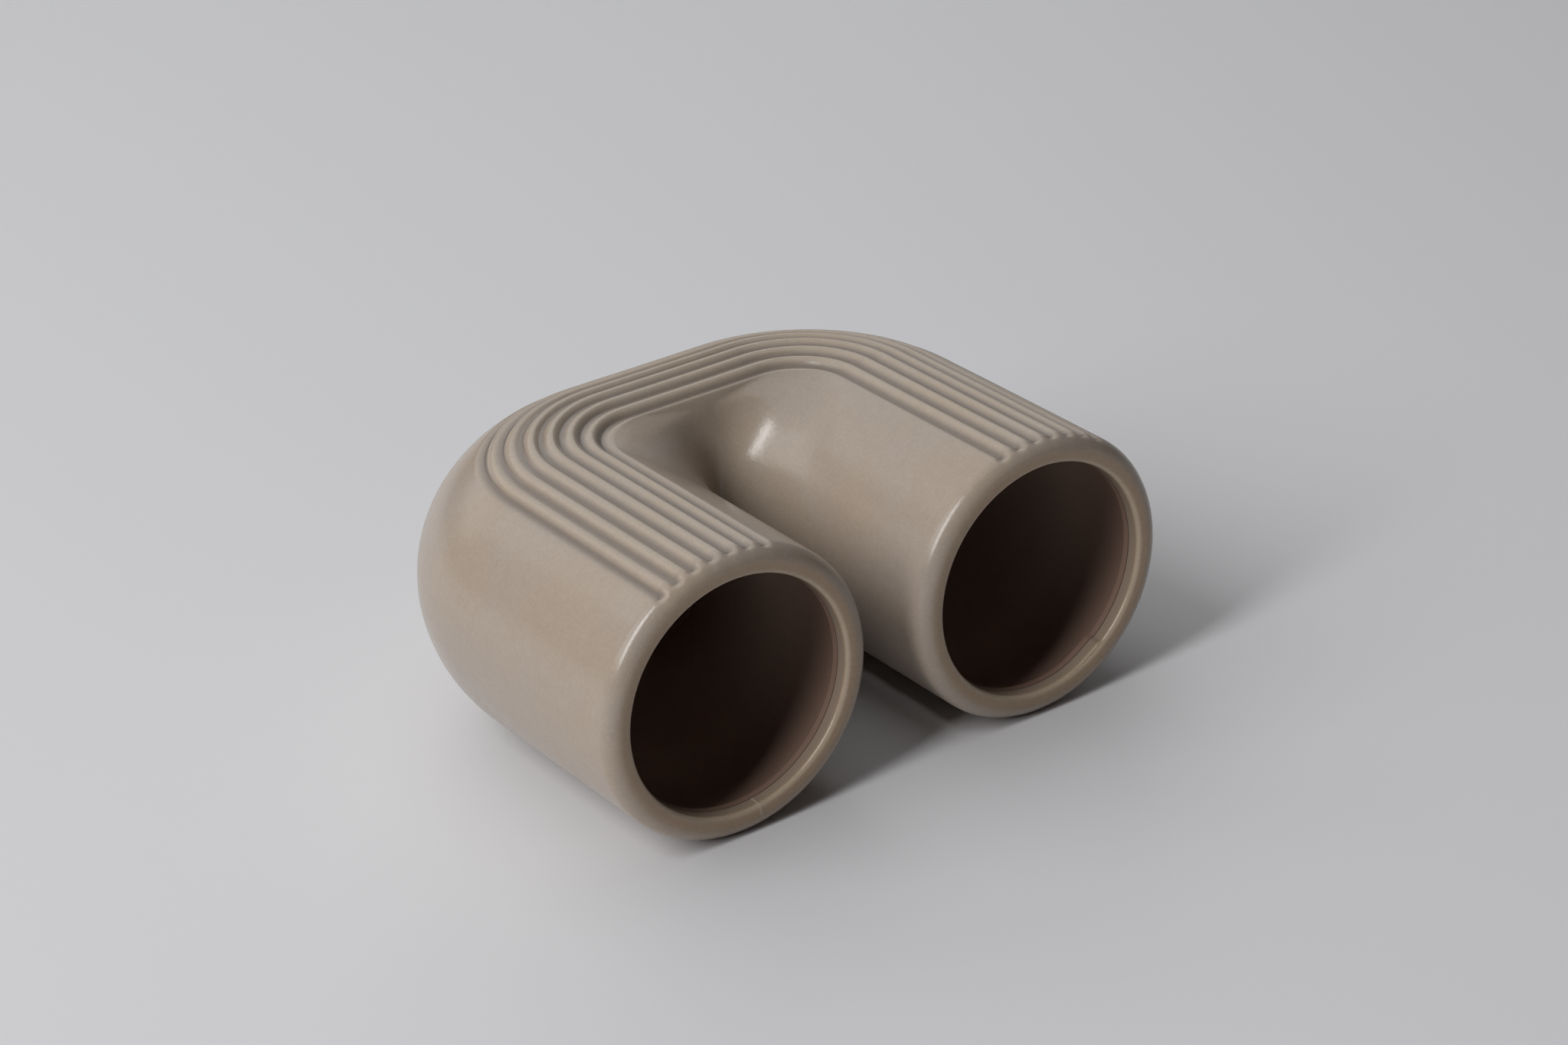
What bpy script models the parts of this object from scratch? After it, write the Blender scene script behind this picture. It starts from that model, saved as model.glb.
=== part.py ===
"""Double vase: a ribbed U of stoneware tube with two open mouths, lying on its back.

The U is luted together from five pieces of soft clay: two straight legs, the base bridge that
turns both corners between them, and a rim ring on each mouth.
Seven ribs' worth of grooves run round the U on its upper face, from one rim to the other.
X runs along the bridge, -Y is the way the mouths look, and Z is up, with the ribs on top.
"""

import math

import bmesh
import bpy

# Driving dimensions, in metres
TUBE_RADIUS = 0.045         # outside of the round tube
WALL = 0.0062               # thickness of legs and bridge
LEG_GAP = 0.0185            # clear slot between the two legs
LEG_REACH = 0.1088          # from the bridge's centre line to the mouth plane
BEND_RADIUS = 0.030         # corner of the tube's centre line
SLIP_GAP = 0.0003           # thickness of the slip layer in each luted joint

SLOT_LIP = 0.0155           # from the bridge's centre line to where its inner side turns steep
SLOT_LIP_ROUND = 0.0020     # softness of that turn
SLOT_WALL = 0.0225          # from the bridge's centre line to the slot's end at half height
SLOT_ARCH = 0.0450          # length of the slot's rounded end at half height
SLOT_ARCH_DEPTH = 0.0216    # past the lip, where the slot's end has lost its last flat stretch
SLOT_BLEND = 0.0012         # softness with which that stretch is lost
BEND_LEAD = 0.0010          # straight lead-in at each end of the bridge

GROOVE_COUNT = 7
GROOVE_PITCH = 0.0061       # groove to groove, round the tube
GROOVE_DEPTH = 0.0016
GROOVE_SHARPNESS = 2        # 2 is a plain wave, more gives narrower grooves and broader ribs
GROOVE_OFFSET = 0.0060      # middle of the ribbed band, outward from the crest of the tube
GROOVE_START = 0.0016       # from the mouth plane to the groove's tip
GROOVE_RUN_OUT = 0.0022     # length over which a groove reaches its full depth

RIM_WIDTH = 0.0081          # across the face of the rim
RIM_DEPTH = 0.0064          # height of the ring, along the leg
RIM_TAPER = 0.0005          # how far the band inside the mouth narrows towards its back
RIM_CROWN = 0.0003          # rise of the rim's face between its shoulders
RIM_OUTER_ROUND = 0.0050
RIM_INNER_ROUND = 0.0018

FOOT_TRIM = 0.0020          # slice ground off the bridge, which leaves the flat standing foot

# Fineness of the surfaces
STEPS_PER_GROOVE = 6
PLAIN_STEP = math.radians(9.0)
BEND_STEPS = 22             # along each half of the bridge
OUTER_ROUND_STEPS = 6
INNER_ROUND_STEPS = 3

# Sizes that follow from the driving dimensions
HALF_SPACING = TUBE_RADIUS + LEG_GAP / 2.0
CAVITY_RADIUS = TUBE_RADIUS - WALL
LIP_RADIUS = TUBE_RADIUS - RIM_WIDTH
PITCH_ANGLE = GROOVE_PITCH / TUBE_RADIUS
BAND_ANGLE = GROOVE_COUNT * PITCH_ANGLE
BAND_START = GROOVE_OFFSET / TUBE_RADIUS - BAND_ANGLE / 2.0
SLOT_DEPTH = TUBE_RADIUS - SLOT_LIP
BEND_START = -SLOT_WALL - SLOT_ARCH - BEND_LEAD
LEG_START = -LEG_REACH + RIM_DEPTH + SLIP_GAP
FOOT_Y = TUBE_RADIUS - FOOT_TRIM
MIDDLE_Y = (FOOT_Y - LEG_REACH) / 2.0

# Glaze and clay, as linear colours
LEG_GLAZE = (0.335, 0.285, 0.245)
BRIDGE_GLAZE = (0.325, 0.277, 0.238)
RIM_GLAZE = (0.350, 0.298, 0.256)
GLAZE_ROUGHNESS = 0.45


def section_angles():
    """Angles round the tube, 0 at its crest and positive outward, and which of them are coarse.

    The ribbed band takes fine steps. The coarse angles are one for each rib and the plain rest
    of the circle, where the quarter points keep the tube's full width and height.
    """
    angles = []
    coarse = []
    for step in range(GROOVE_COUNT * STEPS_PER_GROOVE):
        if step % STEPS_PER_GROOVE == 0:
            coarse.append(len(angles))
        angles.append(BAND_START + PITCH_ANGLE * step / STEPS_PER_GROOVE)
    full_turn = BAND_START + 2.0 * math.pi
    corners = [BAND_START + BAND_ANGLE, 0.5 * math.pi, math.pi, 1.5 * math.pi, full_turn]
    for start, end in zip(corners, corners[1:]):
        count = math.ceil((end - start) / PLAIN_STEP)
        for step in range(count):
            coarse.append(len(angles))
            angles.append(start + (end - start) * step / count)
    return angles, coarse


ANGLES, COARSE = section_angles()
COARSE_ANGLES = [ANGLES[index] for index in COARSE]


def groove_cut(angle):
    """Depth of the ribbed pattern at this angle, on the full run of the tube."""
    turn = (angle - BAND_START) / PITCH_ANGLE
    if not 0.0 < turn < GROOVE_COUNT:
        return 0.0
    return GROOVE_DEPTH * abs(math.sin(math.pi * turn)) ** GROOVE_SHARPNESS


def groove_share(depth):
    """How much of the groove is there at this distance from the mouth plane, from 0 to 1."""
    share = min(max((depth - GROOVE_START) / GROOVE_RUN_OUT, 0.0), 1.0)
    return share * share * (3.0 - 2.0 * share)


def outer_radius(angle):
    return TUBE_RADIUS - groove_cut(angle)


def cavity_radius(angle):
    return CAVITY_RADIUS


def past_lip(angle):
    """How far the line at this angle lies beyond the slot's lip, eased in from zero."""
    beyond = -TUBE_RADIUS * math.sin(angle) - SLOT_LIP
    eased = min(max(beyond + SLOT_LIP_ROUND, 0.0), 2.0 * SLOT_LIP_ROUND)
    return eased ** 2 / (4.0 * SLOT_LIP_ROUND) + max(beyond - SLOT_LIP_ROUND, 0.0)


def corner(angle, radius):
    """Centre and the two radii of the corner that the line at this angle of the tube turns.

    On the outer side and the ribbed band the lines are concentric with the bend. Past the lip
    the bridge's wall turns steep and the slot ends in an arch that grows longer with depth.
    The cavity shares the outer surface's centres.
    """
    outward = TUBE_RADIUS * math.sin(angle)
    past = past_lip(angle)
    share = past / SLOT_DEPTH
    wall_y = outward + past - share * (SLOT_WALL - SLOT_LIP)
    along = BEND_RADIUS + outward + past + share * (SLOT_ARCH - BEND_RADIUS + SLOT_LIP)
    flat = (HALF_SPACING - BEND_RADIUS) * (1.0 - past / SLOT_ARCH_DEPTH)
    flat = 0.5 * (flat + math.hypot(flat, 2.0 * SLOT_BLEND))
    across = HALF_SPACING + outward - flat
    inset = (TUBE_RADIUS - radius) * math.sin(angle)
    return flat, wall_y - along, across - inset, along - inset


def straight_point(angle, radius, y):
    return (HALF_SPACING + radius * math.sin(angle), y, radius * math.cos(angle))


def bridge_point(angle, radius, share):
    """A point between the flat end (share 0) and the middle of the bridge (share 1), at +X."""
    centre_x, centre_y, across, along = corner(angle, radius)
    start = BEND_START + SLIP_GAP / 2.0
    straight = centre_y - start
    arc = 0.25 * math.pi * (across + along)
    travel = share * (straight + arc + centre_x)
    swing = 0.5 * math.pi * min(max((travel - straight) / arc, 0.0), 1.0)
    x = centre_x + across * math.cos(swing) - max(travel - straight - arc, 0.0)
    y = min(start + travel, centre_y) + along * math.sin(swing)
    return (x, y, radius * math.cos(angle))


def mirrored(loop):
    return [(-x, y, z) for x, y, z in loop]


def leg_loops(angles, radius_at):
    """The two end loops of one wall of the straight +X leg."""
    ends = (LEG_START, BEND_START - SLIP_GAP / 2.0)
    return [[straight_point(angle, radius_at(angle), y) for angle in angles] for y in ends]


def bridge_loops(angles, radius_at):
    """The loops of one wall of the bridge, from its +X end to its -X one."""
    half = []
    for step in range(BEND_STEPS + 1):
        along = step / BEND_STEPS
        half.append([bridge_point(angle, radius_at(angle), along) for angle in angles])
    return half + [mirrored(loop) for loop in reversed(half[:-1])]


def rim_profile():
    """The ring's section as (radius, depth, lean) from its outer back edge to its inner one.

    Lean is the angle of the outward normal, from the mouth's direction (0) to straight out.
    """
    outer_centre = TUBE_RADIUS - RIM_OUTER_ROUND
    inner_centre = LIP_RADIUS + RIM_INNER_ROUND
    profile = [(TUBE_RADIUS, RIM_DEPTH, math.pi / 2.0)]
    for step in range(OUTER_ROUND_STEPS + 1):
        lean = math.pi / 2.0 * (1.0 - step / OUTER_ROUND_STEPS)
        depth = RIM_CROWN + RIM_OUTER_ROUND * (1.0 - math.cos(lean))
        profile.append((outer_centre + RIM_OUTER_ROUND * math.sin(lean), depth, lean))
    profile.append(((outer_centre + inner_centre) / 2.0, 0.0, 0.0))
    for step in range(INNER_ROUND_STEPS + 1):
        lean = -math.pi / 2.0 * step / INNER_ROUND_STEPS
        depth = RIM_CROWN + RIM_INNER_ROUND * (1.0 - math.cos(lean))
        profile.append((inner_centre + RIM_INNER_ROUND * math.sin(lean), depth, lean))
    profile.append((LIP_RADIUS - RIM_TAPER, RIM_DEPTH, -math.pi / 2.0))
    return profile


def rim_loops():
    """The loops round the +X rim ring. The grooves start on its outer shoulder."""
    loops = []
    for radius, depth, lean in rim_profile():
        share = groove_share(depth) if lean > 0.0 else 0.0
        loop = []
        for angle in ANGLES:
            cut = share * groove_cut(angle)
            sunk_radius = radius - cut * math.sin(lean)
            sunk_depth = depth + cut * math.cos(lean)
            loop.append(straight_point(angle, sunk_radius, sunk_depth - LEG_REACH))
        loops.append(loop)
    return loops


def add_wall(mesh, loops):
    """Skin a run of loops with quads and return the vertices of its first and last loop."""
    rows = [[mesh.verts.new(point) for point in loop] for loop in loops]
    for row, following in zip(rows, rows[1:]):
        for index in range(len(row)):
            before = index - 1
            mesh.faces.new((row[before], row[index], following[index], following[before]))
    return rows[0], rows[-1]


def close_end(mesh, outer, cavity):
    """Fill the flat end between the fine outer loop and the coarse cavity loop."""
    for number, start in enumerate(COARSE):
        last = number == len(COARSE) - 1
        end = len(outer) if last else COARSE[number + 1]
        edge = [outer[index % len(outer)] for index in range(start, end + 1)]
        far = cavity[0] if last else cavity[number + 1]
        mesh.faces.new(edge + [far, cavity[number]])


def tube_mesh(outer_loops, cavity_loops):
    """A length of open tube: outer wall, cavity wall and the two flat ends."""
    mesh = bmesh.new()
    outer_ends = add_wall(mesh, outer_loops)
    cavity_ends = add_wall(mesh, cavity_loops)
    for outer, cavity in zip(outer_ends, cavity_ends):
        close_end(mesh, outer, cavity)
    return mesh


def ring_mesh(loops):
    """A ring closed on itself, whose last loop meets the first at its flat back."""
    mesh = bmesh.new()
    first, last = add_wall(mesh, loops)
    for index in range(len(first)):
        before = index - 1
        mesh.faces.new((last[before], last[index], first[index], first[before]))
    return mesh


def grind_foot(mesh):
    """Cut the bridge off flat on its outer side and close the cut."""
    everything = mesh.verts[:] + mesh.edges[:] + mesh.faces[:]
    cut = bmesh.ops.bisect_plane(mesh, geom=everything, dist=1e-6, plane_co=(0.0, FOOT_Y, 0.0),
                                 plane_no=(0.0, 1.0, 0.0), clear_outer=True)
    outline = [item for item in cut["geom_cut"] if isinstance(item, bmesh.types.BMEdge)]
    bmesh.ops.edgeloop_fill(mesh, edges=outline)


def glaze(name, colour):
    material = bpy.data.materials.new(name)
    material.use_nodes = True
    shader = material.node_tree.nodes["Principled BSDF"]
    shader.inputs["Base Color"].default_value = (*colour, 1.0)
    shader.inputs["Roughness"].default_value = GLAZE_ROUGHNESS
    shader.inputs["Metallic"].default_value = 0.0
    return material


def add_piece(name, mesh, colour, frame):
    bmesh.ops.recalc_face_normals(mesh, faces=mesh.faces[:])
    data = bpy.data.meshes.new(name)
    mesh.to_mesh(data)
    mesh.free()
    data.shade_smooth()
    data.set_sharp_from_angle(angle=math.radians(40.0))
    data.materials.append(glaze(name + "_glaze", colour))
    piece = bpy.data.objects.new(name, data)
    piece.parent = frame
    bpy.context.collection.objects.link(piece)


def build():
    for old in list(bpy.data.objects):
        bpy.data.objects.remove(old, do_unlink=True)
    frame = bpy.data.objects.new("double_vase", None)
    frame.location = (0.0, -MIDDLE_Y, TUBE_RADIUS)
    bpy.context.collection.objects.link(frame)

    leg_outer = leg_loops(ANGLES, outer_radius)
    leg_cavity = leg_loops(COARSE_ANGLES, cavity_radius)
    rim = rim_loops()
    add_piece("right_leg", tube_mesh(leg_outer, leg_cavity), LEG_GLAZE, frame)
    add_piece("right_rim_ring", ring_mesh(rim), RIM_GLAZE, frame)

    leg_outer = [mirrored(loop) for loop in leg_outer]
    leg_cavity = [mirrored(loop) for loop in leg_cavity]
    rim = [mirrored(loop) for loop in rim]
    add_piece("left_leg", tube_mesh(leg_outer, leg_cavity), LEG_GLAZE, frame)
    add_piece("left_rim_ring", ring_mesh(rim), RIM_GLAZE, frame)

    bridge_outer = bridge_loops(ANGLES, outer_radius)
    bridge_cavity = bridge_loops(COARSE_ANGLES, cavity_radius)
    bridge = tube_mesh(bridge_outer, bridge_cavity)
    grind_foot(bridge)
    add_piece("base_bridge", bridge, BRIDGE_GLAZE, frame)


build()
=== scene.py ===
# %% [markdown]
# # A ribbed double vase
# The vase is a U of round stoneware tube with two open mouths. It lies on its back, and a band of
# grooves runs round its upper face from one rim to the other. Five pieces of clay were luted into
# one body and glazed over, so the joints don't show. This lesson makes those five pieces with
# Geometry Nodes, gives them a satin glaze, and lights them like a still life on a pale table.

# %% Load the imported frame
import math

import bpy
from mathutils import Matrix, Vector


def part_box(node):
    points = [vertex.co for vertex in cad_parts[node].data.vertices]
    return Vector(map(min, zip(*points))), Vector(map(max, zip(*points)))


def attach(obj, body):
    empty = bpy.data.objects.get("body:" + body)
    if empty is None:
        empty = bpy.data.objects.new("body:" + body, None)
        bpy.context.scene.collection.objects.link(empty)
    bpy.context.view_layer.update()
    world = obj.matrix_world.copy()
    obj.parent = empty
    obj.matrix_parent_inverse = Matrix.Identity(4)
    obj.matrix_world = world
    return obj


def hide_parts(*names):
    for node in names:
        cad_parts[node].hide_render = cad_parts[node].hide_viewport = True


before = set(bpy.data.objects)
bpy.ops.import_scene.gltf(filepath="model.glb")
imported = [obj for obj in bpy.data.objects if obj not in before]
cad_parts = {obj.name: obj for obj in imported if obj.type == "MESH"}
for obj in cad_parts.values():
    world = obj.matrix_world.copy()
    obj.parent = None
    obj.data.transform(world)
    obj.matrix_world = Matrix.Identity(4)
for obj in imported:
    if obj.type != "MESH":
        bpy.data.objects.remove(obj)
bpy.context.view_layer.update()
print("frame nodes:", sorted(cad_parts))

# %% [markdown]
# ## Sizes
# The frame already holds the big sizes: the right rim ring's box gives the tube's radius, how far
# the leg stands from the middle and where its mouth is, and the bridge's box ends at the foot.
# The finer sizes, such as the groove's pitch, are written here once in metres.

# %% Read the big sizes from the frame
MILLIMETRE = 0.001
HALF_JOINT = 0.00015    # half of the gap that the frame leaves at each luted joint
FOOT_TRIM = 0.0020      # how much of the tube was ground away for the foot
rim_low, rim_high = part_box("right_rim_ring")
TUBE_RADIUS = (rim_high.x - rim_low.x) / 2.0
HALF_SPACING = (rim_high.x + rim_low.x) / 2.0
MOUTH_Y = rim_low.y
RIM_DEPTH = rim_high.y - rim_low.y + HALF_JOINT
FOOT_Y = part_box("base_bridge")[1].y
BRIDGE_Y = FOOT_Y + FOOT_TRIM - TUBE_RADIUS
BEND_START = BRIDGE_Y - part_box("right_leg")[1].y - HALF_JOINT
print(f"tube radius {TUBE_RADIUS / MILLIMETRE:.2f} mm")
print(f"legs {2 * HALF_SPACING / MILLIMETRE:.2f} mm apart")

# %% Name the finer sizes
TUBE_SIZES = {
    "Tube Radius": TUBE_RADIUS,
    "Wall": 0.0062,
    "Half Spacing": HALF_SPACING,
    "Bridge Y": BRIDGE_Y,
    "Mouth Y": MOUTH_Y,
    "Rim Depth": RIM_DEPTH,
    "Bend Radius": 0.0300,
    "Bend Start": BEND_START,
    "Slot Lip": 0.0140,
    "Slot Lip Round": 0.0020,
    "Slot Wall": 0.0225,
    "Slot Arch": 0.0450,
    "Slot Arch Depth": 0.0075,
    "Slot Blend": 0.0025,
    "Foot Y": FOOT_Y,
    "Foot Edge": 0.0004,
    "Waviness": 0.00025,
    "Side": 1.0,
}
GROOVE_SIZES = {
    "Groove Count": 7.0,
    "Groove Pitch": 0.0061,
    "Groove Depth": 0.0012,
    "Groove Sharpness": 2.6,
    "Groove Offset": 0.0060,
    "Groove Start": 0.0016,
    "Groove Run Out": 0.0022,
}
RIM_SIZES = {
    "Lip Radius": TUBE_RADIUS - 0.0081,
    "Lip Taper": 0.0005,
    "Outer Round": 0.0050,
    "Inner Round": 0.0014,
    "Crown": 0.0003,
    "Edge Width": 0.0011,
    "Lap Height": 0.0,
    "Lap Angle": math.radians(140.5),
    "Lap Length": math.radians(20.0),
}
RIGHT_LAP_HEIGHT = 0.0007
WELD_DISTANCE = 1e-5
SHARP_ANGLE = math.radians(50.0)
print("groove band:", int(GROOVE_SIZES["Groove Count"]), "grooves")

# %% [markdown]
# ## Writing node sums like ordinary sums
# A node tree that bends a tube needs dozens of Math nodes. Wiring them by hand hides the formula,
# so a small class stands for a socket and turns each `+` or `*` into the node it needs. The tree
# that comes out is an ordinary one, and it can be opened and changed in Blender.

# %% Sockets that can be added and multiplied
class Value:
    """An output socket of a node tree. Arithmetic with it adds Math nodes to the tree."""

    def __init__(self, tree, socket):
        self.tree = tree
        self.socket = socket

    def __add__(self, other):
        return calc("ADD", self, other)

    def __radd__(self, other):
        return calc("ADD", other, self)

    def __sub__(self, other):
        return calc("SUBTRACT", self, other)

    def __rsub__(self, other):
        return calc("SUBTRACT", other, self)

    def __mul__(self, other):
        return calc("MULTIPLY", self, other)

    def __rmul__(self, other):
        return calc("MULTIPLY", other, self)

    def __truediv__(self, other):
        return calc("DIVIDE", self, other)


def plug(tree, socket, value):
    """Feed a socket from another socket, or set it to a plain number or vector."""
    if isinstance(value, Value):
        tree.links.new(value.socket, socket)
    else:
        socket.default_value = value


def calc(operation, *terms):
    """Add one Math node. At least one term has to be a socket."""
    tree = next(term.tree for term in terms if isinstance(term, Value))
    node = tree.nodes.new("ShaderNodeMath")
    node.operation = operation
    for place, term in enumerate(terms):
        plug(tree, node.inputs[place], term)
    return Value(tree, node.outputs[0])


def unit(value):
    """Hold a value between 0 and 1."""
    return calc("MINIMUM", calc("MAXIMUM", value, 0.0), 1.0)


def smooth_step(value):
    """Rise from 0 to 1 while the value does, gently at both ends."""
    share = unit(value)
    return share * share * (3.0 - 2.0 * share)


def soft_max(first, second, blend):
    """The larger of two values, with a round corner where they cross."""
    gap = first - second
    return 0.5 * (first + second + calc("SQRT", gap * gap + 4.0 * (blend * blend)))


def soft_min(first, second, blend):
    """The smaller of two values, with a round corner where they cross."""
    gap = first - second
    return 0.5 * (first + second - calc("SQRT", gap * gap + 4.0 * (blend * blend)))


def ease_in(value, ease):
    """Zero below -ease, the value itself above ease, and a parabola between the two."""
    start = calc("MINIMUM", calc("MAXIMUM", value + ease, 0.0), 2.0 * ease)
    return start * start / (4.0 * ease) + calc("MAXIMUM", value - ease, 0.0)


def add_node(tree, kind, feeds=None, **settings):
    """Add a node, change its settings, and feed its inputs by name."""
    node = tree.nodes.new(kind)
    for name, setting in settings.items():
        setattr(node, name, setting)
    for name, value in (feeds or {}).items():
        plug(tree, node.inputs[name], value)
    return node


def out(node, name=0):
    """One output of a node, by name or number."""
    return Value(node.id_data, node.outputs[name])


def vector_of(x, y, z):
    tree = next(part.tree for part in (x, y, z) if isinstance(part, Value))
    return out(add_node(tree, "ShaderNodeCombineXYZ", {"X": x, "Y": y, "Z": z}))


def parts_of(vector):
    split = add_node(vector.tree, "ShaderNodeSeparateXYZ", {"Vector": vector})
    return out(split, "X"), out(split, "Y"), out(split, "Z")


def noise_at(place, scale, detail):
    feeds = {"Vector": place, "Scale": scale, "Detail": detail}
    return out(add_node(place.tree, "ShaderNodeTexNoise", feeds), "Fac")


print("node sums ready")

# %% Starting and ending a tree
def start_tree(name, *size_groups):
    """A new tree with one named input for each size, and those inputs as Values."""
    tree = bpy.data.node_groups.new(name, "GeometryNodeTree")
    tree.interface.new_socket("Geometry", in_out="OUTPUT", socket_type="NodeSocketGeometry")
    entry = tree.nodes.new("NodeGroupInput")
    sizes = {}
    for group in size_groups:
        for label, number in group.items():
            socket = tree.interface.new_socket(label, in_out="INPUT", socket_type="NodeSocketFloat")
            socket.default_value = number
    tree.interface.new_socket("Glaze", in_out="INPUT", socket_type="NodeSocketMaterial")
    for group in size_groups:
        for label in group:
            sizes[label] = out(entry, label)
    sizes["Glaze"] = out(entry, "Glaze")
    return tree, sizes


def move_points(tree, mesh, place, attributes):
    """Store what the glaze reads, while the points are still on the flat grid, then move them."""
    for label, value in attributes.items():
        store = add_node(tree, "GeometryNodeStoreNamedAttribute", {"Geometry": mesh, "Name": label})
        plug(tree, store.inputs["Value"], value)
        mesh = out(store)
    return out(add_node(tree, "GeometryNodeSetPosition", {"Geometry": mesh, "Position": place}))


def end_tree(tree, sizes, mesh):
    """Turn over the faces of a mirrored piece, make everything real, and set the material."""
    flip = add_node(tree, "GeometryNodeFlipFaces", {"Mesh": mesh})
    plug(tree, flip.inputs["Selection"], calc("LESS_THAN", sizes["Side"], 0.0))
    real = add_node(tree, "GeometryNodeRealizeInstances", {"Geometry": out(flip)})
    painted = add_node(tree, "GeometryNodeSetMaterial", {"Geometry": out(real)})
    plug(tree, painted.inputs["Material"], sizes["Glaze"])
    exit_node = tree.nodes.new("NodeGroupOutput")
    tree.links.new(painted.outputs[0], exit_node.inputs["Geometry"])


print("tree helpers ready")

# %% [markdown]
# ## The grooves
# Seven grooves were pressed into the soft clay, side by side on the upper face. Grooves and ribs are
# both round, and the ribs are a little wider. A sine raised to a power just above two gives that
# section: zero along the middle of each rib, one at the bottom of each groove. A higher power would
# leave narrow channels between broad ribs. Near the mouth the grooves fade out on the rim's shoulder.
# The same functions serve the legs, the bridge and the rims, so a groove passes every joint unbroken.

# %% Groove depth as node sums
COLUMN_CROWDING = 0.6
RIB_THINNING = 0.5      # how thin the glaze is along a rib, next to the lip's inner edge
# Where a groove runs out, the pale tip is partly thin glaze and partly a painted highlight.
TIP_THINNING_AND_HIGHLIGHT = 0.4      # the same where a groove runs out
WAVE_SCALE = 22.0
WAVE_DETAIL = 1.0
WAVE_MIDDLE = 0.7       # more than the noise's mean of 0.5, so the wall mostly wanders inward


def groove_turn(sizes, angle):
    """How many grooves lie before this angle round the tube, 0 at the crest and positive outward."""
    pitch = sizes["Groove Pitch"] / sizes["Tube Radius"]
    middle = sizes["Groove Offset"] / sizes["Tube Radius"]
    return (angle - middle) / pitch + 0.5 * sizes["Groove Count"]


def groove_cut(sizes, angle):
    """Depth of the pattern: zero along a rib, one at the bottom of a groove."""
    turn = groove_turn(sizes, angle)
    wave = calc("ABSOLUTE", calc("SINE", math.pi * turn))
    inside = calc("GREATER_THAN", turn, 0.0) * calc("LESS_THAN", turn, sizes["Groove Count"])
    return inside * calc("POWER", wave, sizes["Groove Sharpness"])


def rib_share(sizes, angle):
    """One along each rib between two grooves, where the glaze draws thin."""
    turn = groove_turn(sizes, angle)
    ends = smooth_step(2.0 * turn) * smooth_step(2.0 * (sizes["Groove Count"] - turn))
    return ends * (1.0 - groove_cut(sizes, angle))


def groove_share(sizes, depth):
    """How much of a groove is there at this distance from the mouth plane."""
    return smooth_step((depth - sizes["Groove Start"]) / sizes["Groove Run Out"])


def column_angle(sizes, share):
    """Angle of a column of the grid. The columns crowd together on the ribbed band."""
    turn = 2.0 * math.pi * (share - 0.5)
    middle = sizes["Groove Offset"] / sizes["Tube Radius"]
    return middle + turn - COLUMN_CROWDING * calc("SINE", turn)


def waviness(sizes, place):
    """A potter's unevenness: how far the surface stands out at this place."""
    return (noise_at(place, WAVE_SCALE, WAVE_DETAIL) - WAVE_MIDDLE) * sizes["Waviness"]


print("groove formula ready")

# %% [markdown]
# ## Legs and bridge
# Both are lengths of the same tube: a leg is straight, and the bridge is the U-bend between the legs.
# A flat grid is rolled up. Its columns become angles round the tube, and its rows travel down the
# outside and back up the cavity, so one grid closes into a wall with both its ends. Each line along
# the tube turns the corner on its own arc. Outside the bend the arcs are concentric. Towards the slot
# their radius stops shrinking, or the inner wall would fold over itself. Deeper in the slot the flat
# length between the two corners shrinks to nothing, and the wall becomes one bowl.

# %% A grid whose rows run down the outside and back up the cavity
def wall_grid(tree, sizes, columns, outer_rows, cavity_rows):
    """Returns the grid and, for each of its points, its angle, run share and cavity flag."""
    total = outer_rows + cavity_rows + 2
    grid = add_node(tree, "GeometryNodeMeshGrid", {
        "Size X": float(columns),
        "Size Y": float(total),
        "Vertices X": columns + 1,
        "Vertices Y": total + 1,
    })
    across, along, _ = parts_of(out(tree.nodes.new("GeometryNodeInputPosition")))
    angle = column_angle(sizes, across / columns + 0.5)
    row = calc("MODULO", calc("ROUND", along + 0.5 * total), float(total))
    in_cavity = calc("GREATER_THAN", row, outer_rows + 0.5)
    down = row / outer_rows
    back = (total - 1.0 - row) / cavity_rows
    share = in_cavity * back + (1.0 - in_cavity) * down
    return out(grid), angle, share, in_cavity


def corner_of(sizes, angle, in_cavity):
    """Centre of the corner, its two radii and the tube's radius, for the line at this angle."""
    sine = calc("SINE", angle)
    outward = sizes["Tube Radius"] * sine
    past = ease_in(0.0 - outward - sizes["Slot Lip"], sizes["Slot Lip Round"])
    share = past / (sizes["Tube Radius"] - sizes["Slot Lip"])
    wall_y = outward + past - share * (sizes["Slot Wall"] - sizes["Slot Lip"])
    longer = share * (sizes["Slot Arch"] - sizes["Bend Radius"] + sizes["Slot Lip"])
    along = sizes["Bend Radius"] + outward + past + longer
    flat = (sizes["Half Spacing"] - sizes["Bend Radius"]) * (1.0 - past / sizes["Slot Arch Depth"])
    flat = soft_max(flat, 0.0, sizes["Slot Blend"])
    across = sizes["Half Spacing"] + outward - flat
    inset = in_cavity * sizes["Wall"]
    radius = sizes["Tube Radius"] - inset
    return flat, wall_y - along, across - inset * sine, along - inset * sine, radius


def place_wall(tree, sizes, grid, angle, in_cavity, x, y, swing, radius, side):
    """Move the grid's points to the wall, press the grooves and add a potter's waviness."""
    y = y + sizes["Bridge Y"]
    z = radius * calc("COSINE", angle) + sizes["Tube Radius"]
    wave = waviness(sizes, vector_of(side * x, y, z))
    outer = 1.0 - in_cavity
    present = outer * groove_share(sizes, y - sizes["Mouth Y"])
    fill = present * groove_cut(sizes, angle)
    shift = wave * outer - fill * sizes["Groove Depth"]
    sine = calc("SINE", angle)
    x = x + shift * sine * calc("COSINE", swing)
    y = y + shift * sine * calc("SINE", swing)
    z = z + shift * calc("COSINE", angle)
    flat_y = soft_min(y, sizes["Foot Y"], sizes["Foot Edge"])
    y = outer * flat_y + in_cavity * y
    thin = RIB_THINNING * present * rib_share(sizes, angle)
    attributes = {"groove": fill, "edge": thin, "face": 0.0, "cavity": in_cavity}
    return move_points(tree, grid, vector_of(side * x, y, z), attributes)


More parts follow.
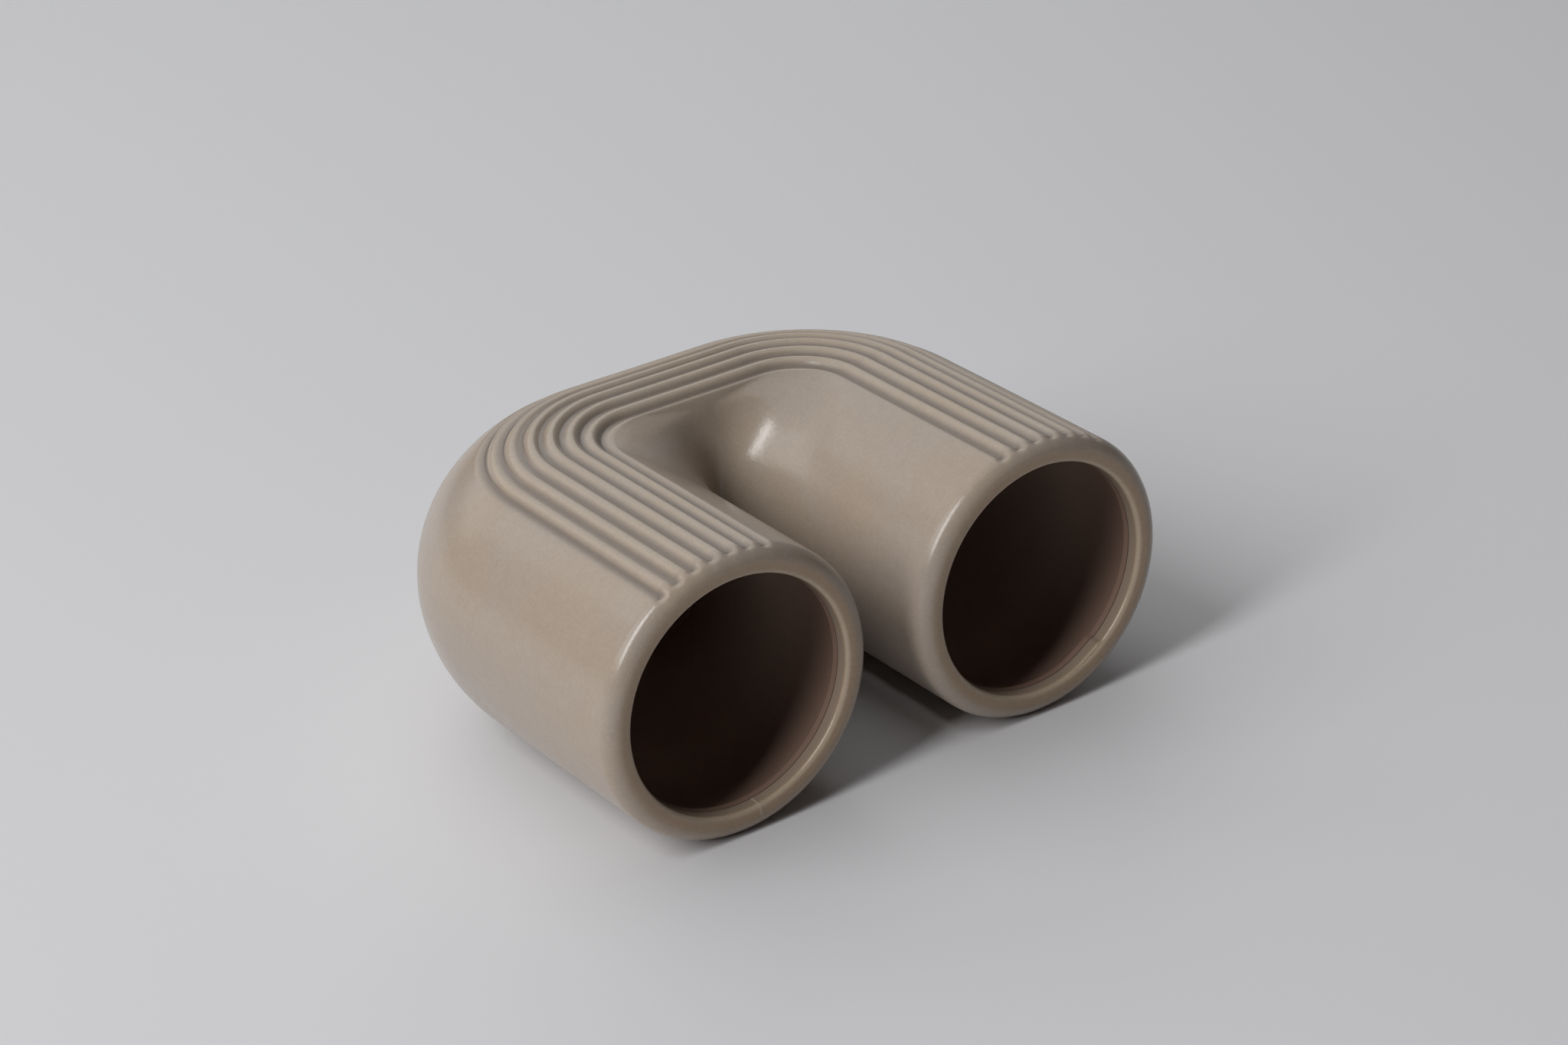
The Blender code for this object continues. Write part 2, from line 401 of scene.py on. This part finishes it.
def close_wall(tree, mesh):
    """Weld the grid's edges where they meet."""
    feeds = {"Geometry": mesh, "Distance": WELD_DISTANCE}
    return out(add_node(tree, "GeometryNodeMergeByDistance", feeds))


print("wall functions ready")

# %% The leg's tree
def leg_tree(columns=400, outer_rows=60, cavity_rows=24):
    tree, sizes = start_tree("ribbed_leg", TUBE_SIZES, GROOVE_SIZES)
    grid, angle, share, in_cavity = wall_grid(tree, sizes, columns, outer_rows, cavity_rows)
    start_y = sizes["Mouth Y"] + sizes["Rim Depth"] - sizes["Bridge Y"]
    y = start_y + share * (0.0 - sizes["Bend Start"] - start_y)
    radius = sizes["Tube Radius"] - in_cavity * sizes["Wall"]
    x = sizes["Half Spacing"] + radius * calc("SINE", angle)
    swing = 0.0 * share
    mesh = place_wall(tree, sizes, grid, angle, in_cavity, x, y, swing, radius, sizes["Side"])
    end_tree(tree, sizes, close_wall(tree, mesh))
    return tree


LEG_TREE = leg_tree()
print("leg tree:", len(LEG_TREE.nodes), "nodes")

# %% The bridge's tree
def bridge_tree(columns=400, outer_rows=160, cavity_rows=60):
    tree, sizes = start_tree("ribbed_bridge", TUBE_SIZES, GROOVE_SIZES)
    grid, angle, share, in_cavity = wall_grid(tree, sizes, columns, outer_rows, cavity_rows)
    centre_x, centre_y, across, along, radius = corner_of(sizes, angle, in_cavity)
    from_middle = 2.0 * share - 1.0
    side = 0.0 - calc("SIGN", from_middle)
    straight = centre_y + sizes["Bend Start"]
    mean = 0.5 * (across + along)
    arc = mean * (math.pi / 2.0)
    travel = (1.0 - calc("ABSOLUTE", from_middle)) * (straight + arc + centre_x)
    swing = unit((travel - straight) / arc) * (math.pi / 2.0)
    x = centre_x + across * calc("COSINE", swing) - calc("MAXIMUM", travel - straight - arc, 0.0)
    y = calc("MINIMUM", travel - sizes["Bend Start"], centre_y) + along * calc("SINE", swing)
    mesh = place_wall(tree, sizes, grid, angle, in_cavity, x, y, swing, radius, side)
    end_tree(tree, sizes, close_wall(tree, mesh))
    return tree


BRIDGE_TREE = bridge_tree()
print("bridge tree:", len(BRIDGE_TREE.nodes), "nodes")

# %% [markdown]
# ## Rim rings
# Each mouth carries a thicker ring with a broad round outer shoulder, a nearly flat face and a
# small inner shoulder. Its section starts as a four-cornered curve whose two front corners are
# filleted, and a second grid is rolled round that section. The grooves end on the outer shoulder.
# On the right ring the strip of clay laps over itself: a short step on the inner wall shows where.

# %% The rim's section
OUTER_CORNER, INNER_CORNER = 1.0, 2.0   # places of the front corners among the curve's points
PLACE_TOLERANCE = 0.1
FILLET_STEPS = 8
SECTION_CUTS = 2


def rim_section(tree, sizes):
    """The ring's section as a curve: X is the radius and Y the depth behind the mouth plane."""
    back_radius = sizes["Lip Radius"] - sizes["Lip Taper"]
    corners = add_node(tree, "GeometryNodeCurvePrimitiveQuadrilateral", {
        "Point 1": vector_of(sizes["Tube Radius"], sizes["Rim Depth"], 0.0),
        "Point 2": vector_of(sizes["Tube Radius"], 0.0, 0.0),
        "Point 3": vector_of(sizes["Lip Radius"], 0.0, 0.0),
        "Point 4": vector_of(back_radius, sizes["Rim Depth"], 0.0),
    }, mode="POINTS")
    index = out(tree.nodes.new("GeometryNodeInputIndex"))
    outer = calc("COMPARE", index, OUTER_CORNER, PLACE_TOLERANCE) * sizes["Outer Round"]
    inner = calc("COMPARE", index, INNER_CORNER, PLACE_TOLERANCE) * sizes["Inner Round"]
    rounded = add_node(tree, "GeometryNodeFilletCurve", {
        "Curve": out(corners),
        "Count": FILLET_STEPS,
        "Radius": outer + inner,
    }, mode="POLY")
    feeds = {"Curve": out(rounded), "Cuts": SECTION_CUTS}
    return out(add_node(tree, "GeometryNodeSubdivideCurve", feeds))


print("rim section ready")

# %% The rim's tree
LAP_RISE = 0.15         # shares of the lap's length: how fast it rises, and where it starts to fade
LAP_FADE = 0.3
LAP_REACH = 0.0002      # the lap lies on what is this close to the lip's radius, or nearer the axis
# The rim's face is painted browner and darker as shade, where it turns away from the light.
FACE_INSET = 0.0022     # the browner face starts this far in from the outside
FACE_BLEND = 0.0036
FACE_DEPTH = 0.9        # share of the rim's depth
# The lip's pale inner edge is partly thin glaze and partly a painted highlight.
EDGE_CORE = 0.4         # share of the edge's width that is fully thin


def lap_share(sizes, angle):
    """Where the strip of clay laps over itself on the inner wall: a short rounded step."""
    past = angle - sizes["Lap Angle"]
    start = smooth_step(past / (LAP_RISE * sizes["Lap Length"]))
    faded = smooth_step((past - LAP_FADE * sizes["Lap Length"]) / sizes["Lap Length"])
    return start * (1.0 - faded)


def rim_tree(columns=640):
    tree, sizes = start_tree("rim_ring", TUBE_SIZES, GROOVE_SIZES, RIM_SIZES)
    section = rim_section(tree, sizes)
    count = out(add_node(tree, "GeometryNodeAttributeDomainSize", {"Geometry": section},
                         component="CURVE"), "Point Count")
    grid = add_node(tree, "GeometryNodeMeshGrid", {
        "Size X": float(columns),
        "Size Y": count,
        "Vertices X": columns + 1,
        "Vertices Y": count + 1.0,
    })
    position = out(tree.nodes.new("GeometryNodeInputPosition"))
    across, along, _ = parts_of(position)
    angle = column_angle(sizes, across / columns + 0.5)
    row = calc("MODULO", calc("ROUND", along + 0.5 * count), count)
    feeds = {"Geometry": section, "Value": position, "Index": row}
    sample = add_node(tree, "GeometryNodeSampleIndex", feeds, data_type="FLOAT_VECTOR")
    radius, depth, _ = parts_of(out(sample))

    round_outer = sizes["Outer Round"]
    shoulder = sizes["Tube Radius"] - round_outer
    lean_out = unit((radius - shoulder) / round_outer)
    lean_front = unit((round_outer - depth) / round_outer)
    fill = groove_cut(sizes, angle) * groove_share(sizes, depth)
    fill = fill * calc("GREATER_THAN", radius, shoulder)
    cut = fill * sizes["Groove Depth"]
    middle = 0.5 * (sizes["Tube Radius"] + sizes["Lip Radius"])
    off_middle = unit(calc("ABSOLUTE", radius - middle) / (sizes["Tube Radius"] - middle))
    crown = sizes["Crown"] * off_middle * off_middle * (1.0 - depth / sizes["Rim Depth"])
    lap = lap_share(sizes, angle) * calc("LESS_THAN", radius, sizes["Lip Radius"] + LAP_REACH)
    sunk_radius = radius - cut * lean_out - lap * sizes["Lap Height"]
    sunk_depth = depth + cut * lean_front + crown

    x = sizes["Half Spacing"] + sunk_radius * calc("SINE", angle)
    y = sizes["Mouth Y"] + sunk_depth
    z = sizes["Tube Radius"] + sunk_radius * calc("COSINE", angle)
    wave = waviness(sizes, vector_of(sizes["Side"] * x, y, z))
    x = x + wave * calc("SINE", angle)
    z = z + wave * calc("COSINE", angle)
    # The pale line over the lip's inner edge and at the groove tips is partly thin glaze, partly
    # painted highlight.
    from_lip = radius - sizes["Lip Radius"]
    from_edge = calc("SQRT", from_lip * from_lip + depth * depth)
    edge = 1.0 - smooth_step((from_edge - EDGE_CORE * sizes["Edge Width"]) / sizes["Edge Width"])
    tip = groove_cut(sizes, angle) * (1.0 - groove_share(sizes, depth)) * lean_out
    # Where the rim's face gets its painted shade, browner and darker than the body.
    face = smooth_step((sizes["Tube Radius"] - FACE_INSET - radius) / FACE_BLEND)
    face = face * calc("LESS_THAN", depth, FACE_DEPTH * sizes["Rim Depth"])
    attributes = {"groove": fill, "edge": edge + TIP_THINNING_AND_HIGHLIGHT * tip, "face": face, "cavity": 0.0}
    mesh = move_points(tree, out(grid), vector_of(sizes["Side"] * x, y, z), attributes)
    end_tree(tree, sizes, close_wall(tree, mesh))
    return tree


RIM_TREE = rim_tree()
print("rim tree:", len(RIM_TREE.nodes), "nodes")

# %% [markdown]
# ## The glaze
# A satin stoneware glaze is never one colour. Soft clouds a few centimetres wide run from warm brown
# to pinkish grey, and a fine sandy speckle lies over them. The grooves are darker, partly glaze that
# pooled there and partly painted shade in the channels. The face of a rim is painted browner and
# darker as shade, where it turns away from the light. The glaze is paler along the ribs, where it
# drew thin, and over the inner edge of a lip and the groove tips, partly thin glaze and partly a
# painted highlight. The trees stored those places as the attributes `groove`, `face`, `edge` and
# `cavity`. A grey band follows the lip's inner wall. A few millimetres behind the mouth a fine dark
# line, painted shadow, marks where the dark brown of the cavity begins, and deeper in the cavity the
# brown turns lighter as painted light. The left lip has one pale scratch.

# %% Glaze colours
WARM_BROWN = (0.398, 0.320, 0.252, 1.0)
PINK_GREY = (0.392, 0.328, 0.276, 1.0)
# The grooves' dark brown is partly pooled glaze and partly painted shade in the channels.
POOLED_AND_SHADED_BROWN = (0.196, 0.161, 0.134, 1.0)
# Painted shade on the rim's face, which turns away from the light.
RIM_FACE_SHADE_BROWN = (0.392, 0.268, 0.166, 1.0)
# Pale cream of thin glaze, also used as a painted highlight on the lip's inner edge and groove tips.
THIN_CREAM_AND_HIGHLIGHT = (0.500, 0.415, 0.320, 1.0)
CAVITY_BROWN = (0.260, 0.170, 0.130, 1.0)
# Deeper in the cavity the colour turns lighter: painted light.
DEEP_PAINTED_LIGHT_BROWN = (0.420, 0.310, 0.250, 1.0)
LIP_GREY = (0.270, 0.218, 0.178, 1.0)
print("glaze colours ready")

# %% Glaze sizes and shares
CLOUD_SCALE, CLOUD_LOW, CLOUD_SPAN = 26.0, 0.30, 0.40
SPECKLE_SCALE, GRAIN_SCALE, GRAIN_SHARE = 1100.0, 300.0, 0.5
SPECKLE_STRENGTH, SPECKLE_MEAN = 0.20, 0.75
# How the grooves' pooled glaze and painted shade narrow towards each groove's bottom.
POOLING_AND_SHADE_POWER = 1.5
FACE_SHARE, THIN_AND_HIGHLIGHT_SHARE, BAND_SHARE, MARK_SHARE = 0.85, 0.75, 0.7, 0.85
# The dark line behind the lip's band is painted shadow.
LIP_BAND = 0.0044               # from the mouth plane to the dark line
BAND_START, BAND_BLEND = 0.0012, 0.0008
LINE_WIDTH, LINE_SHADOW_DARKNESS = 0.0003, 0.7
LIP_TOLERANCE = 0.0004
MARK_ANGLE = math.radians(-83.0)
MARK_WIDTH, MARK_REACH = 0.0005, 0.0032
DEEP_START, DEEP_BLEND = 0.012, 0.030
SATIN, SATIN_CHANGE, SATIN_SCALE, CAVITY_ROUGHENING = 0.17, 0.14, 60.0, 0.12
ORANGE_PEEL_SCALE, FINE_SCALE, FINE_SHARE = 420.0, 1300.0, 0.5
BUMP_STRENGTH, BUMP_DISTANCE = 0.35, 0.00012
NOISE_DETAIL, FINE_DETAIL = 2.0, 1.0
print("glaze sizes ready")

# %% Shader helpers
def blend(share, first, second):
    """A colour between two others, each a socket or a plain colour."""
    node = share.tree.nodes.new("ShaderNodeMix")
    node.data_type = "RGBA"
    plug(share.tree, node.inputs[0], share)
    plug(share.tree, node.inputs[6], first)
    plug(share.tree, node.inputs[7], second)
    return out(node, 2)


def shade(colour, factor):
    """A colour made lighter or darker."""
    feeds = {"Vector": colour, "Scale": factor}
    return out(add_node(colour.tree, "ShaderNodeVectorMath", feeds, operation="SCALE"))


def stored(tree, name):
    return out(add_node(tree, "ShaderNodeAttribute", attribute_name=name), "Fac")


print("shader helpers ready")

# %% Glaze material
def glaze_colour(tree, place):
    """The glaze's colour from its clouds, speckle and thickness."""
    clouds = noise_at(place, CLOUD_SCALE, NOISE_DETAIL) - CLOUD_LOW
    colour = blend(smooth_step(clouds / CLOUD_SPAN), WARM_BROWN, PINK_GREY)
    # The grooves turn darker: partly glaze pooled in them, partly painted shade in the channels.
    colour = blend(calc("POWER", stored(tree, "groove"), POOLING_AND_SHADE_POWER), colour, POOLED_AND_SHADED_BROWN)
    # The rim's face is painted browner and darker as shade.
    colour = blend(FACE_SHARE * stored(tree, "face"), colour, RIM_FACE_SHADE_BROWN)
    # Paler where the glaze drew thin, and a painted highlight over the lip's inner edge and groove
    # tips.
    colour = blend(THIN_AND_HIGHLIGHT_SHARE * unit(stored(tree, "edge")), colour, THIN_CREAM_AND_HIGHLIGHT)
    grain = GRAIN_SHARE * noise_at(place, GRAIN_SCALE, NOISE_DETAIL)
    speckle = noise_at(place, SPECKLE_SCALE, NOISE_DETAIL) + grain
    return shade(colour, 1.0 + SPECKLE_STRENGTH * (speckle - SPECKLE_MEAN))


def lip_shares(tree, place):
    """Shares of the dark cavity colour, of the fine painted shadow line where it begins, and of the
    lip's grey band.
    """
    x, y, z = parts_of(place)
    from_axis_x = calc("ABSOLUTE", x) - HALF_SPACING
    from_axis_z = z - TUBE_RADIUS
    from_axis = calc("SQRT", from_axis_x * from_axis_x + from_axis_z * from_axis_z)
    behind = (y - MOUTH_Y - LIP_BAND) / LINE_WIDTH
    on_lip = calc("LESS_THAN", from_axis, RIM_SIZES["Lip Radius"] + LIP_TOLERANCE)
    on_lip = on_lip * calc("LESS_THAN", y, MOUTH_Y + RIM_DEPTH)
    inside = calc("MAXIMUM", stored(tree, "cavity"), on_lip * smooth_step(behind))
    # The fine dark line is painted shadow where the cavity's colour begins.
    line = on_lip * (1.0 - smooth_step(calc("ABSOLUTE", behind - 0.5)))
    band = on_lip * smooth_step((y - MOUTH_Y - BAND_START) / BAND_BLEND)
    return inside, line, band


def mark_share(place):
    """A fine pale scratch across the lip of the left mouth."""
    x, y, z = parts_of(place)
    away_x = x + HALF_SPACING
    away_z = z - TUBE_RADIUS
    along = away_x * math.cos(MARK_ANGLE) + away_z * math.sin(MARK_ANGLE)
    across = away_z * math.cos(MARK_ANGLE) - away_x * math.sin(MARK_ANGLE)
    line = 1.0 - smooth_step(calc("ABSOLUTE", across) / MARK_WIDTH)
    lip = calc("LESS_THAN", along, RIM_SIZES["Lip Radius"] + MARK_REACH)
    front = calc("LESS_THAN", y, MOUTH_Y + LIP_BAND)
    return line * lip * calc("GREATER_THAN", along, 0.0) * front


def make_glaze(name):
    material = bpy.data.materials.new(name)
    material.use_nodes = True
    tree = material.node_tree
    shader = tree.nodes["Principled BSDF"]
    place = out(tree.nodes.new("ShaderNodeTexCoord"), "Object")
    inside, line, band = lip_shares(tree, place)
    colour = blend(BAND_SHARE * band, glaze_colour(tree, place), LIP_GREY)
    colour = blend(MARK_SHARE * mark_share(place), colour, THIN_CREAM_AND_HIGHLIGHT)
    # Deeper in the cavity the brown is painted lighter, as painted light.
    deep = smooth_step((parts_of(place)[1] - MOUTH_Y - DEEP_START) / DEEP_BLEND)
    colour = blend(inside, colour, blend(deep, CAVITY_BROWN, DEEP_PAINTED_LIGHT_BROWN))
    # The fine line is darkened as painted shadow.
    plug(tree, shader.inputs["Base Color"], shade(colour, 1.0 - LINE_SHADOW_DARKNESS * line))
    satin = SATIN + SATIN_CHANGE * noise_at(place, SATIN_SCALE, NOISE_DETAIL)
    plug(tree, shader.inputs["Roughness"], satin + CAVITY_ROUGHENING * inside)
    fine = FINE_SHARE * noise_at(place, FINE_SCALE, FINE_DETAIL)
    bump = add_node(tree, "ShaderNodeBump", {
        "Strength": BUMP_STRENGTH,
        "Distance": BUMP_DISTANCE,
        "Height": noise_at(place, ORANGE_PEEL_SCALE, NOISE_DETAIL) + fine,
    })
    plug(tree, shader.inputs["Normal"], out(bump))
    return material


BODY_GLAZE = make_glaze("satin_glaze")
print("glaze:", BODY_GLAZE.name, len(BODY_GLAZE.node_tree.nodes), "nodes")

# %% [markdown]
# ## From trees to plain meshes
# A tree runs as a modifier on an empty mesh object. Its sizes are set by each socket's identifier.
# The evaluated result becomes a plain mesh, the modifier goes, and the piece stands in for its node.

# %% Build the five pieces
def run_tree(name, tree, sizes):
    """Run a tree and return its result as a plain mesh object."""
    shell = bpy.data.objects.new(name, bpy.data.meshes.new(name + "_seed"))
    bpy.context.scene.collection.objects.link(shell)
    modifier = shell.modifiers.new("shape", "NODES")
    modifier.node_group = tree
    for socket in tree.interface.items_tree:
        if socket.in_out == "INPUT" and socket.name in sizes:
            modifier[socket.identifier] = sizes[socket.name]
    evaluated = shell.evaluated_get(bpy.context.evaluated_depsgraph_get())
    mesh = bpy.data.meshes.new_from_object(evaluated)
    shell.modifiers.remove(modifier)
    seed = shell.data
    shell.data = mesh
    bpy.data.meshes.remove(seed)
    mesh.name = name
    mesh.shade_smooth()
    mesh.set_sharp_from_angle(angle=SHARP_ANGLE)
    return shell


def add_piece(name, tree, node, slot, **sizes):
    piece = run_tree(name, tree, {**sizes, "Glaze": BODY_GLAZE})
    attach(piece, "root")
    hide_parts(node)
    triangles = sum(len(face.vertices) - 2 for face in piece.data.polygons)
    print(f"{name}: {triangles} triangles")
    return piece


for side_name, side in (("left", -1.0), ("right", 1.0)):
    add_piece(f"{side_name}_leg_glazed", LEG_TREE, f"{side_name}_leg", "body_glaze", Side=side)
    lap_height = RIGHT_LAP_HEIGHT if side_name == "right" else 0.0
    add_piece(f"{side_name}_rim_glazed", RIM_TREE, f"{side_name}_rim_ring", "rim_glaze",
              **{"Side": side, "Lap Height": lap_height})
add_piece("base_bridge_glazed", BRIDGE_TREE, "base_bridge", "body_glaze", Side=1.0)

# %% [markdown]
# ## Table, light and camera
# The vase lies on a plain pale table. Most light comes from the left: a tall narrow window makes the
# thin bright lines on the rims and the streak in the crotch, and a broad soft panel beside it keeps
# the shadows open. Panels at the back and overhead graze the ribs, and a faint one on the right
# lifts the far side. Nothing shines from the front, so the cavities and the gap stay dark.

# %% Table
TABLE_GREY = (0.75, 0.75, 0.77, 1.0)
TABLE_ROUGHNESS = 0.6


def add_table(half_width=6.0):
    corners = [(-half_width, -half_width, 0.0), (half_width, -half_width, 0.0),
               (half_width, half_width, 0.0), (-half_width, half_width, 0.0)]
    mesh = bpy.data.meshes.new("table_top")
    mesh.from_pydata(corners, [], [(0, 1, 2, 3)])
    table = bpy.data.objects.new("table_top", mesh)
    bpy.context.scene.collection.objects.link(table)
    paint = bpy.data.materials.new("pale_table")
    paint.use_nodes = True
    shader = paint.node_tree.nodes["Principled BSDF"]
    shader.inputs["Base Color"].default_value = TABLE_GREY
    shader.inputs["Roughness"].default_value = TABLE_ROUGHNESS
    mesh.materials.append(paint)
    return table


add_table()
print("table ready")

# %% Lights
WINDOW_DISTANCE = 3.0
WINDOWS = {     # the way to each window from the vase, its width and height, and its watts
    "window_left": ((-0.80, -0.19, 0.68), (0.55, 2.20), 43.0),
    "soft_left": ((-0.80, 0.20, 0.62), (2.20, 2.00), 26.0),
    "back_wall": ((0.10, 0.85, 0.52), (4.20, 1.80), 20.0),
    "right_wall": ((0.85, 0.48, 0.20), (3.20, 1.60), 3.0),
    "ceiling": ((-0.05, 0.25, 0.97), (3.00, 3.00), 22.0),
}
ROOM_WHITE = (0.97, 0.98, 1.0, 1.0)
ROOM_STRENGTH = 0.02


def add_window(name, towards, size, power):
    """A soft oblong window that looks at the middle of the vase."""
    lamp = bpy.data.lights.new(name, "AREA")
    lamp.shape = "RECTANGLE"
    lamp.size, lamp.size_y = size
    lamp.energy = power
    holder = bpy.data.objects.new(name, lamp)
    direction = Vector(towards).normalized()
    holder.location = Vector((0.0, 0.0, TUBE_RADIUS)) + direction * WINDOW_DISTANCE
    holder.rotation_mode = "QUATERNION"
    holder.rotation_quaternion = direction.to_track_quat("Z", "Y")
    bpy.context.scene.collection.objects.link(holder)


for window_name, (towards, size, power) in WINDOWS.items():
    add_window(window_name, towards, size, power)
world = bpy.data.worlds.new("soft_room")
bpy.context.scene.world = world
world.use_nodes = True
background = world.node_tree.nodes["Background"]
background.inputs["Color"].default_value = ROOM_WHITE
background.inputs["Strength"].default_value = ROOM_STRENGTH
bpy.context.scene.view_settings.view_transform = "Standard"
print("lights ready")

# %% Camera
PHOTO_WIDTH = 2048
FOCAL_PIXELS = 4973.7
SENSOR_WIDTH = 36.0
CAMERA_AZIMUTH = math.radians(-35.134)
CAMERA_ELEVATION = math.radians(26.89)
CAMERA_ROLL = math.radians(-2.193)
CAMERA_DISTANCE = 1.1139
CAMERA_TARGET = Vector((-0.00243, BRIDGE_Y - 0.0585, TUBE_RADIUS + 0.01818))


def add_camera():
    back = Vector((math.sin(CAMERA_AZIMUTH) * math.cos(CAMERA_ELEVATION),
                   -math.cos(CAMERA_AZIMUTH) * math.cos(CAMERA_ELEVATION),
                   math.sin(CAMERA_ELEVATION)))
    level = Vector((math.cos(CAMERA_AZIMUTH), math.sin(CAMERA_AZIMUTH), 0.0))
    upright = back.cross(level)
    right = math.cos(CAMERA_ROLL) * level + math.sin(CAMERA_ROLL) * upright
    up = back.cross(right)
    lens = bpy.data.cameras.new("photo_camera")
    lens.sensor_width = SENSOR_WIDTH
    lens.lens = FOCAL_PIXELS * SENSOR_WIDTH / PHOTO_WIDTH
    camera = bpy.data.objects.new("photo_camera", lens)
    turn = Matrix((right, up, back)).transposed().to_4x4()
    camera.matrix_world = Matrix.Translation(CAMERA_TARGET + back * CAMERA_DISTANCE) @ turn
    bpy.context.scene.collection.objects.link(camera)
    bpy.context.scene.camera = camera


add_camera()
print("camera ready")
